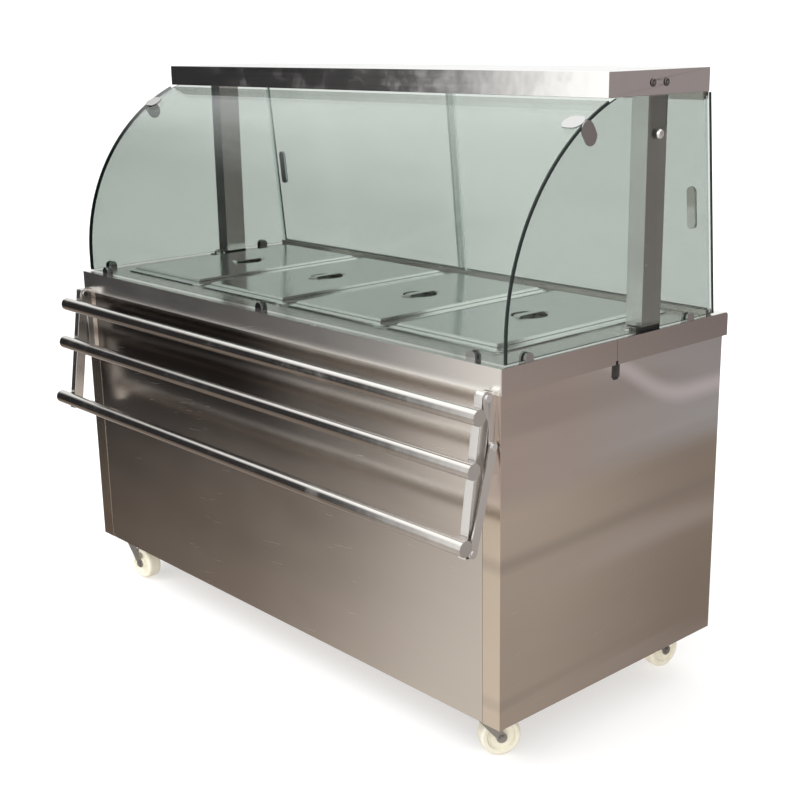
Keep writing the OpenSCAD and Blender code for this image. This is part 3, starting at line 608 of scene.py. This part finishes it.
class STEAM_OT_worktop(Finish, bpy.types.Operator):
    """Finishes the worktop, its pan dividers and the door tracks"""
    bl_idname = "steam.worktop"
    bl_label = "Worktop"

    def execute(self, context):
        steel = context.scene.steam_steel
        seam = context.scene.steam_fittings.seam
        low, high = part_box("worktop")
        seam_y = seam_place()

        def apron_seam_and_painted_light(paint, place, base):
            x, y, z = paint.parts(place)
            line = abs(y - seam_y).under(seam / 2)
            notch = abs(y - seam_y).under(seam * 3.4) * z.under(low.z + seam * 7)
            # The apron's end faces get painted shade, darker towards the back, and its front face
            # a painted highlight towards the right; the seam line and its notch are the dark
            # joint.
            end = abs(x).over(high.x - 0.0016)
            tone = paint.mix(y.ramp(low.y, high.y), (0.50, 0.42, 0.385), (0.33, 0.285, 0.27))
            base = paint.mix(end * 0.8, base, tone)
            front = y.under(low.y + 0.003)
            base = paint.mix(front * x.ramp(0.2, high.x), base, (1.0, 0.98, 0.95))
            return paint.mix(line.most(notch) * end * 0.95, base, (0.02, 0.02, 0.02))

        dress("worktop", brushed_steel("worktop_sheet", WORKTOP_STEEL, 0.22, "X", ripple=0.3,
                                       shade=apron_seam_and_painted_light), steel.edge)
        for node in ("pan_dividers", "door_track_lower", "door_track_upper"):
            dress(node, brushed_steel(node + "_sheet", steel.frame, 0.24, "X"), steel.edge * 0.4)
        return {"FINISHED"}


class STEAM_OT_frame(Finish, bpy.types.Operator):
    """Finishes posts, channels, arms and struts"""
    bl_idname = "steam.frame"
    bl_label = "Posts and arms"

    def execute(self, context):
        steel = context.scene.steam_steel
        for node in FRAME_NODES:
            tone = POST_STEEL if node.startswith("post") else steel.frame
            dress(node, brushed_steel(node + "_steel", tone, 0.2, "Z", ripple=0.4),
                  steel.edge * 0.6)
        return {"FINISHED"}


class STEAM_OT_polished(Finish, bpy.types.Operator):
    """Finishes the overshelf, the tray tubes and the bright fittings"""
    bl_idname = "steam.polished"
    bl_label = "Polished parts"

    def execute(self, context):
        steel = context.scene.steam_steel
        dress("overshelf", polished_steel("overshelf_polish", steel.polished, 0.13), steel.edge)
        for node in TUBE_NODES:
            dress(node, polished_steel(node + "_polish", TUBE_STEEL))
        for node in BRIGHT_NODES:
            tone = CLIP_STEEL if node.endswith("clips") else FITTING_STEEL
            dress(node, polished_steel(node + "_bright", tone, 0.08), steel.edge * 0.4)
        return {"FINISHED"}


class STEAM_OT_pans(Finish, bpy.types.Operator):
    """Finishes the pans, lids, water tank and element, and makes the lids' rolled edges"""
    bl_idname = "steam.pans"
    bl_label = "Pans and tank"

    def execute(self, context):
        steel = context.scene.steam_steel
        for i in PANS:
            dress(f"food_pan_{i}", brushed_steel(f"pan_{i}_steel", steel.pan, 0.22, "Y", 0.5))
            dress(f"pan_lid_{i}", brushed_steel(f"lid_{i}_steel", steel.pan, 0.16, "Y", 0.5,
                                                ripple=0.25, shade=self.lid_painted_shade(i)),
                  steel.edge * 0.5)
            self.bead(i, steel)

        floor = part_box("water_tank")[0].z

        def scale_line(paint, place, base):
            z = paint.parts(place)[2]
            ring = paint.noise(place, (9.0, 9.0, 40.0), 3.0)
            chalk = (z + ring * 0.02).ramp(floor + 0.07, floor + 0.03) * 0.35
            return paint.mix(chalk, base, (0.78, 0.76, 0.70))

        dress("water_tank", brushed_steel("tank_steel", steel.pan, 0.3, "X", shade=scale_line))
        made, paint = material("element_steel")
        place = paint.place()
        heat = paint.noise(place, (14.0, 14.0, 14.0), 4.0, 0.6)
        tone = paint.node("ShaderNodeValToRGB", {"stops": (
            (0.0, (0.16, 0.13, 0.12)), (0.45, (0.32, 0.24, 0.16)), (0.7, (0.20, 0.19, 0.24)),
            (1.0, (0.42, 0.38, 0.34)))}, {"Fac": heat})
        paint.close(paint.principled(Base_Color=tone, Metallic=1.0, Roughness=0.3 + heat * 0.3,
                                     Normal=paint.bump(heat, 0.0003)))
        dress("heating_element", made)
        return {"FINISHED"}

    def lid_painted_shade(self, number):
        """Paints shade on a lid's edge, its crease and the dish under its strap."""
        low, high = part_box(f"pan_lid_{number}")
        middle, half = (low + high) / 2, (high - low) / 2
        crease, dish = 0.0165, 0.039

        def shade(paint, place, base):
            x, y, z = paint.parts(place)
            dx, dy = x - middle.x, y - middle.y
            inside = (half.x - abs(dx)).least(half.y - abs(dy))
            line = inside.ramp(0.0045, 0.0035) * 0.8
            line = line.most(abs(inside - crease).ramp(0.0016, 0.0006) * 0.55)
            dish_shade = (dx * dx + dy * dy).under(dish ** 2) * z.under(low.z + 0.0082)
            # Painted shade in the gap round the lid, along its crease and in the dish.
            return paint.mix(line.most(dish_shade * 0.72), base, (0.12, 0.12, 0.115))
        return shade

    def bead(self, number, steel):
        """A rolled wire edge round a lid."""
        low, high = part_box(f"pan_lid_{number}")
        radius, corner, turns, steps = 0.0024, 0.022, 8, 8
        path = []
        for side, (sx, sy) in enumerate(((1, 1), (-1, 1), (-1, -1), (1, -1))):
            cx = (high.x if sx > 0 else low.x) - sx * (corner + radius)
            cy = (high.y if sy > 0 else low.y) - sy * (corner + radius)
            for k in range(turns + 1):
                a = math.pi / 2 * (side + k / turns)
                path.append((cx, cy, math.cos(a), math.sin(a)))
        bm = bmesh.new()
        rings = []
        for cx, cy, c, s in path:
            ring = []
            for k in range(steps):
                b = 2 * math.pi * k / steps
                reach = corner + radius * math.cos(b)
                ring.append(bm.verts.new((cx + c * reach, cy + s * reach,
                                          low.z + radius + radius * math.sin(b))))
            rings.append(ring)
        for a, b in zip(rings, rings[1:] + rings[:1]):
            band(bm, a, b)
        finish = polished_steel(f"lid_bead_{number}_steel", steel.pan, 0.16)
        piece(f"lid_bead_{number}", bm, finish, f"lid_{number}")


class STEAM_OT_glass(Finish, bpy.types.Operator):
    """Finishes the curved front pane, the side panes and the doors"""
    bl_idname = "steam.glass"
    bl_label = "Glass"

    def execute(self, context):
        glass = context.scene.steam_glass
        lower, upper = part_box("door_track_lower"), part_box("door_track_upper")
        rise = upper[1].z - lower[0].z
        lean = math.atan2(lower[1].y - upper[1].y, rise)
        door_normal = (0.0, math.cos(lean), math.sin(lean))
        across = (1.0, 0.0, 0.0)
        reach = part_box("front_glass")[1].x - glass.edge_band

        def ends(paint):
            x = paint.parts(paint.place())[0]
            return normal_along(paint, across).ramp(0.6, 0.8).most(abs(x).over(reach))

        def rims(paint):
            return normal_along(paint, across).ramp(0.8, 0.6)

        def door_rims(side):
            low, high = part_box("glass_door_" + side)
            clear = (high.x - low.x) / 2 - glass.edge_band * 0.6
            middle = (high.x + low.x) / 2

            def rims_of_door(paint):
                x = paint.parts(paint.place())[0]
                margin = abs(x - middle).over(clear)
                return normal_along(paint, door_normal).ramp(0.8, 0.6).most(margin) * 0.8
            return rims_of_door

        dress("front_glass", pane_glass("front_pane", glass.tint, glass.edge, ends))
        for side in ("left", "right"):
            dress("side_glass_" + side,
                  pane_glass("side_pane_" + side, glass.tint, glass.edge, rims))
            # The doors' ground edges emit a little painted light.
            dress("glass_door_" + side,
                  pane_glass("door_pane_" + side, glass.tint, glass.door_edge, door_rims(side),
                             painted_glow=0.45))
        return {"FINISHED"}


class STEAM_OT_plastics(Finish, bpy.types.Operator):
    """Finishes the gaskets, the controls, the gland, the drain valve and the castors"""
    bl_idname = "steam.plastics"
    bl_label = "Plastics and castors"

    def execute(self, context):
        plastic = context.scene.steam_plastics
        zinc = context.scene.steam_steel.zinc
        dress("post_gaskets", moulded("gasket_rubber", plastic.black, 0.6), 0.0006)
        dress("thermostat_knob", moulded("knob_plastic", plastic.black, 0.35, coat=0.2), FINE_EDGE)
        dress("cable_gland", moulded("gland_nylon", plastic.black, 0.45), FINE_EDGE)
        dress("power_switch", moulded("rocker_plastic", plastic.red, 0.25, coat=0.5), FINE_EDGE)
        dress("drain_lever", moulded("lever_sleeve", plastic.red, 0.3, coat=0.3), 0.0005)
        made, paint = material("lamp_lens")
        ring = paint.noise(paint.place(), (300.0, 300.0, 300.0), 1.0)
        tone = paint.mix(ring, plastic.amber, (1.0, 0.55, 0.2))
        paint.close(paint.principled(Base_Color=tone, Roughness=0.15, Coat_Weight=1.0,
                                     Normal=paint.bump(ring, 0.0004)))
        dress("pilot_lamp", made)
        dress("control_panel", brushed_steel("fascia_steel", FASCIA_STEEL, 0.22), FINE_EDGE)
        dress("drain_valve", zinc_steel("valve_zinc", VALVE_ZINC))
        dress("castor_plates", zinc_steel("castor_plate_zinc", zinc), FINE_EDGE)
        for name in CASTORS:
            dress("castor_fork_" + name, zinc_steel("fork_zinc_" + name, zinc), 0.0005)
            dress("castor_wheel_" + name, moulded("wheel_nylon_" + name, plastic.wheel, 0.38,
                                                  dirt=(0.70, 0.62, 0.44)))
        return {"FINISHED"}


class STEAM_OT_clips(Finish, bpy.types.Operator):
    """Makes the black clips under the seams in the apron's ends"""
    bl_idname = "steam.clips"
    bl_label = "Seam clips"

    def execute(self, context):
        fittings = context.scene.steam_fittings
        finish = moulded("clip_plastic", context.scene.steam_plastics.black, 0.4, coat=0.3)
        low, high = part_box("worktop")
        seam_y = seam_place()
        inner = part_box("side_panel_right")[1].x
        outer = min(inner + fittings.clip, high.x)
        plate, tongue = (-0.012, 0.009, -0.026, 0.0), (-0.008, 0.005, -0.030, -0.024)
        bm = bmesh.new()
        for side in (-1, 1):
            for y0, y1, z0, z1 in (plate, tongue):
                ends = sorted((side * inner, side * outer))
                block(bm, (ends[0], seam_y + y0, low.z + z0), (ends[1], seam_y + y1, low.z + z1),
                      0.0005)
        piece("seam_clips", bm, finish, "cabinet")
        return {"FINISHED"}


class STEAM_OT_screws(Finish, bpy.types.Operator):
    """Makes the cross-head screws of the service panel, the fascia and the overshelf's ends"""
    bl_idname = "steam.screws"
    bl_label = "Screws"

    def execute(self, context):
        radius = context.scene.steam_fittings.screw
        finish = polished_steel("screw_steel", SCREW_STEEL, 0.16)
        low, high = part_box("rear_panel")
        inset, below_top, columns = 0.014, 0.075, 6
        fascia_inset, shelf_half_gap = 0.009, 0.021
        bm = bmesh.new()
        for i in range(columns):
            x = low.x + inset + (high.x - low.x - 2 * inset) * i / (columns - 1)
            for z in (low.z + inset, high.z - below_top):
                pan_head(bm, (x, high.y, z), (0, 1, 0), radius, radius * 0.55)
        for x in (low.x + inset, high.x - inset):
            pan_head(bm, (x, high.y, (low.z + high.z) / 2), (0, 1, 0), radius, radius * 0.55)
        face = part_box("control_panel")
        for x in (face[0].x + fascia_inset, face[1].x - fascia_inset):
            for z in (face[0].z + fascia_inset, face[1].z - fascia_inset):
                pan_head(bm, (x, face[1].y, z), (0, 1, 0), radius * 0.7, radius * 0.4)
        piece("panel_screws", bm, finish, "cabinet", 60.0)
        shelf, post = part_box("overshelf"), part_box("post_right")
        middle = (post[0].y + post[1].y) / 2
        level = (shelf[0].z + shelf[1].z) / 2
        bm = bmesh.new()
        for side in (-1, 1):
            for y in (middle - shelf_half_gap, middle + shelf_half_gap):
                pan_head(bm, (side * shelf[1].x, y, level), (side, 0, 0), radius * 1.9,
                         radius * 0.95)
        piece("shelf_screws", bm, polished_steel("shelf_screw_steel", SHELF_SCREW_STEEL, 0.16),
              "cabinet", 60.0)
        return {"FINISHED"}


class STEAM_OT_louvres(Finish, bpy.types.Operator):
    """Makes the pressed hoods over the service panel's ventilation slots"""
    bl_idname = "steam.louvres"
    bl_label = "Louvres"

    def execute(self, context):
        steel = context.scene.steam_steel
        proud = context.scene.steam_fittings.louvre
        finish = brushed_steel("louvre_steel", steel.body, steel.roughness, "X")
        low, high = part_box("rear_panel")
        half_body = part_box("side_panel_right")[1].x
        slot_half, first, pitch, rows = 0.045, 0.060, 0.016, 6
        lap, below, tall = 0.004, 0.001, 0.0085
        bm = bmesh.new()
        for centre in (-half_body / 3, half_body / 3):
            for row in range(rows):
                z = low.z + first + row * pitch
                hood(bm, centre, slot_half + lap, high.y, z - below, z + tall, proud)
        piece("louvre_hoods", bm, finish, "cabinet", 50.0)
        return {"FINISHED"}


def hood(bm, x, half, y, z0, z1, proud, thick=0.0009):
    """A louvre: a bulge that is open below, with ends that run out into the sheet."""
    across, up = 18, 7
    outer, inner = [], []
    for i in range(across + 1):
        u = -1 + 2 * i / across
        swell = math.sqrt(max(0.0, 1 - abs(u) ** 6))
        for rows, shrink in ((outer, 0.0), (inner, thick)):
            row = []
            for k in range(up + 1):
                a = math.pi / 2 * k / up
                reach = max(0.0, proud * swell - shrink)
                row.append(bm.verts.new((x + u * half, y + reach * math.cos(a),
                                         z0 + (z1 - z0 - shrink) * math.sin(a))))
            rows.append(row)
    for rows in (outer, inner):
        for a, b in zip(rows, rows[1:]):
            for k in range(up):
                bm.faces.new((a[k], a[k + 1], b[k + 1], b[k]))
    for a, b, c, d in zip(outer, outer[1:], inner, inner[1:]):
        bm.faces.new((a[0], b[0], d[0], c[0]))


class STEAM_OT_dial(Finish, bpy.types.Operator):
    """Makes the scale ring round the thermostat knob and the bezels of lamp and rocker"""
    bl_idname = "steam.dial"
    bl_label = "Dial and bezels"

    def execute(self, context):
        plastic = context.scene.steam_plastics
        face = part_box("control_panel")[1].y
        black = moulded("bezel_plastic", plastic.black, 0.35, coat=0.3)
        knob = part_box("thermostat_knob")
        centre = (knob[0] + knob[1]) / 2
        radius = (knob[1].x - knob[0].x) / 2
        marks, off_knob, thick, wide_mark = 28, 0.003, 0.0003, 0.0009
        bm = bmesh.new()
        for i in range(marks):
            if i in (0, 1, marks - 1):
                continue
            a = 2 * math.pi * i / marks - math.pi / 2
            long = 0.006 if i % 4 == 0 else 0.0035
            tick = bmesh.ops.create_cube(bm, size=1.0)["verts"]
            turn = (Matrix.Translation((centre.x, face + 0.0001, centre.z))
                    @ Matrix.Rotation(-a, 4, "Y")
                    @ Matrix.Translation((radius + off_knob + long / 2, 0, 0)))
            for v in tick:
                v.co = turn @ Vector((v.co.x * long, v.co.y * thick, v.co.z * wide_mark))
        piece("dial_marks", bm, black, "cabinet")
        bm = bmesh.new()
        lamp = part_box("pilot_lamp")
        lamp_centre = ((lamp[0].x + lamp[1].x) / 2, face, (lamp[0].z + lamp[1].z) / 2)
        reach = (lamp[1].x - lamp[0].x) / 2
        turned(bm, ((0.0, reach + 0.0035), (0.0022, reach + 0.003), (0.003, reach + 0.0018),
                    (0.0028, reach + 0.0004), (0.0, reach + 0.0003)), lamp_centre, (0, 1, 0), 40)
        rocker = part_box("power_switch")
        gap, wide = 0.0006, 0.003
        x0, x1 = rocker[0].x - gap, rocker[1].x + gap
        z0, z1 = rocker[0].z - gap, rocker[1].z + gap
        left, right = (x0 - wide, z0 - wide, x0, z1 + wide), (x1, z0 - wide, x1 + wide, z1 + wide)
        under, above = (x0, z0 - wide, x1, z0), (x0, z1, x1, z1 + wide)
        for xa, za, xb, zb in (left, right, under, above):
            block(bm, (xa, face, za), (xb, face + 0.0022, zb), 0.0005)
        piece("bezels", bm, black, "cabinet")
        return {"FINISHED"}


class STEAM_OT_wheel_caps(Finish, bpy.types.Operator):
    """Makes the bearing caps on both sides of each wheel"""
    bl_idname = "steam.wheel_caps"
    bl_label = "Wheel caps"

    def execute(self, context):
        finish = zinc_steel("bearing_cap_zinc", context.scene.steam_steel.zinc)
        profile = ((0.0190, 0.0050), (0.0205, 0.0056), (0.0206, 0.0105), (0.0190, 0.0122))
        for joint in frame["joints"]:
            if not joint["name"].startswith("roll_"):
                continue
            name = joint["name"].removeprefix("roll_")
            centre, axis = Vector(joint["pos_m"]), Vector(joint["axis"]).normalized()
            bm = bmesh.new()
            for way in (-1, 1):
                turned(bm, profile, centre, axis * way, 36)
            piece("bearing_caps_" + name, bm, finish, "wheel_" + name)
        return {"FINISHED"}


def room(paint, strength):
    """The room seen in the steel: dark on the left of the customer side, bright on its right."""
    way = paint.node("ShaderNodeTexCoord", output="Generated")
    x, y, z = paint.parts(way)
    dark_side = (-x).ramp(0.645, 0.735)
    front = (-y).ramp(-0.12, 0.12)
    low = z.ramp(-0.08, -0.30)
    deep = z.ramp(-0.24, -0.46)
    window, window_floor = (1.45, 1.44, 1.42), (0.84, 0.78, 0.72)
    recess, recess_floor = (0.030, 0.029, 0.030), (0.26, 0.205, 0.165)
    bright = paint.mix(low, window, window_floor)
    shadow = paint.mix(deep, recess, recess_floor)
    customer = paint.mix(dark_side, bright, shadow)
    bands = (z * 21.0 + x * 3.0).sine() * 0.5 + 0.5
    tile, tile_light = (0.40, 0.36, 0.34), (0.53, 0.49, 0.47)
    pale_wall, brown_wall = (1.05, 1.06, 1.05), (0.36, 0.31, 0.30)
    operator_low = paint.mix(bands, tile, tile_light)
    operator_high = paint.mix(x.ramp(-0.1, 0.25), pale_wall, brown_wall)
    operator = paint.mix(z.ramp(-0.16, -0.28), operator_high, operator_low)
    level = paint.mix(front, operator, customer)
    ceiling_lights, overhead = (1.80, 1.79, 1.77), (0.70, 0.70, 0.69)
    level = paint.mix(z.ramp(0.42, 0.72), level, ceiling_lights)
    level = paint.mix(z.ramp(0.78, 0.90), level, overhead)
    paint.close(paint.node("ShaderNodeBackground", {}, {"Color": level, "Strength": strength}),
                "ShaderNodeOutputWorld")


class STEAM_OT_stage(Finish, bpy.types.Operator):
    """Makes the studio: floor, room light, soft lamp and camera"""
    bl_idname = "steam.stage"
    bl_label = "Studio"

    def execute(self, context):
        stage = context.scene.steam_stage
        scene = context.scene
        scene.view_settings.view_transform = "Standard"
        bm = bmesh.new()
        sweep = ((0.0, 0.0), (0.0, 2.0), (0.0, 5.0), (0.15, 6.2), (0.6, 7.2), (1.5, 8.1),
                 (3.0, 8.7), (6.0, 9.0))
        turned(bm, sweep, (0, 0, 0), (0, 0, 1), 96)
        mesh = smooth_mesh("studio_floor", bm)
        floor = bpy.data.objects.new("studio_floor", mesh)
        scene.collection.objects.link(floor)
        made, paint = material("studio_floor")
        grain = paint.noise(paint.place(), (3.0, 3.0, 3.0), 3.0)
        tone = paint.mix(0.97 + grain * 0.03, BLACK, stage.floor)
        paint.close(paint.principled(Base_Color=tone, Roughness=0.9, Emission_Color=rgba(WHITE),
                                     Emission_Strength=0.45))
        mesh.materials.append(made)
        floor.visible_glossy = False
        floor.visible_diffuse = False
        floor.visible_shadow = False
        world = bpy.data.worlds.new("studio")
        scene.world = world
        world.use_nodes = True
        room(Paint(world.node_tree), stage.fill)
        lamp = bpy.data.lights.new("soft_key", "SUN")
        lamp.energy = stage.key
        lamp.angle = math.radians(40)
        key = bpy.data.objects.new("soft_key", lamp)
        key.rotation_euler = (math.radians(28), math.radians(-18), 0)
        key.visible_glossy = False
        scene.collection.objects.link(key)
        self.camera(scene, stage)
        return {"FINISHED"}

    def camera(self, scene, stage):
        data = bpy.data.cameras.new("camera")
        data.lens = stage.lens
        data.sensor_width = 36.0
        data.shift_x, data.shift_y = stage.shift
        made = bpy.data.objects.new("camera", data)
        scene.collection.objects.link(made)
        turn, down = stage.azimuth, stage.downward
        ahead = Vector((-math.sin(turn) * math.cos(down), math.cos(turn) * math.cos(down),
                        -math.sin(down)))
        right = ahead.cross(Vector((0, 0, 1))).normalized()
        up = right.cross(ahead)
        c, s = math.cos(stage.roll), math.sin(stage.roll)
        right, up = right * c + up * s, up * c - right * s
        made.matrix_world = Matrix((
            (right.x, up.x, -ahead.x, stage.eye[0]), (right.y, up.y, -ahead.y, stage.eye[1]),
            (right.z, up.z, -ahead.z, stage.eye[2]), (0, 0, 0, 1)))
        scene.camera = made


class STEAM_PT_panel(bpy.types.Panel):
    """Lists the finishes and fittings"""
    bl_idname = "STEAM_PT_panel"
    bl_label = "Steam table"
    bl_space_type = "VIEW_3D"
    bl_region_type = "UI"
    bl_category = "Steam table"

    def draw(self, context):
        for group in GROUPS:
            box = self.layout.box()
            settings = getattr(context.scene, group)
            for name in type(settings).__annotations__:
                box.prop(settings, name)
        for operator in OPERATORS:
            self.layout.operator(operator.bl_idname)


GROUPS = {
    "steam_steel": SteelSettings,
    "steam_glass": GlassSettings,
    "steam_plastics": PlasticSettings,
    "steam_fittings": FittingSettings,
    "steam_stage": StageSettings,
}
OPERATORS = (STEAM_OT_cabinet, STEAM_OT_worktop, STEAM_OT_frame, STEAM_OT_polished, STEAM_OT_pans,
             STEAM_OT_glass, STEAM_OT_plastics, STEAM_OT_clips, STEAM_OT_screws,
             STEAM_OT_louvres, STEAM_OT_dial, STEAM_OT_wheel_caps, STEAM_OT_stage)
CLASSES = tuple(GROUPS.values()) + OPERATORS + (STEAM_PT_panel,)


def register():
    for cls in CLASSES:
        bpy.utils.register_class(cls)
    for name, group in GROUPS.items():
        setattr(bpy.types.Scene, name, bpy.props.PointerProperty(type=group))


def unregister():
    for name in GROUPS:
        delattr(bpy.types.Scene, name)
    for cls in reversed(CLASSES):
        bpy.utils.unregister_class(cls)


def main():
    register()
    for operator in OPERATORS:
        group, name = operator.bl_idname.split(".")
        getattr(getattr(bpy.ops, group), name)()


if __name__ == "__main__":
    main()
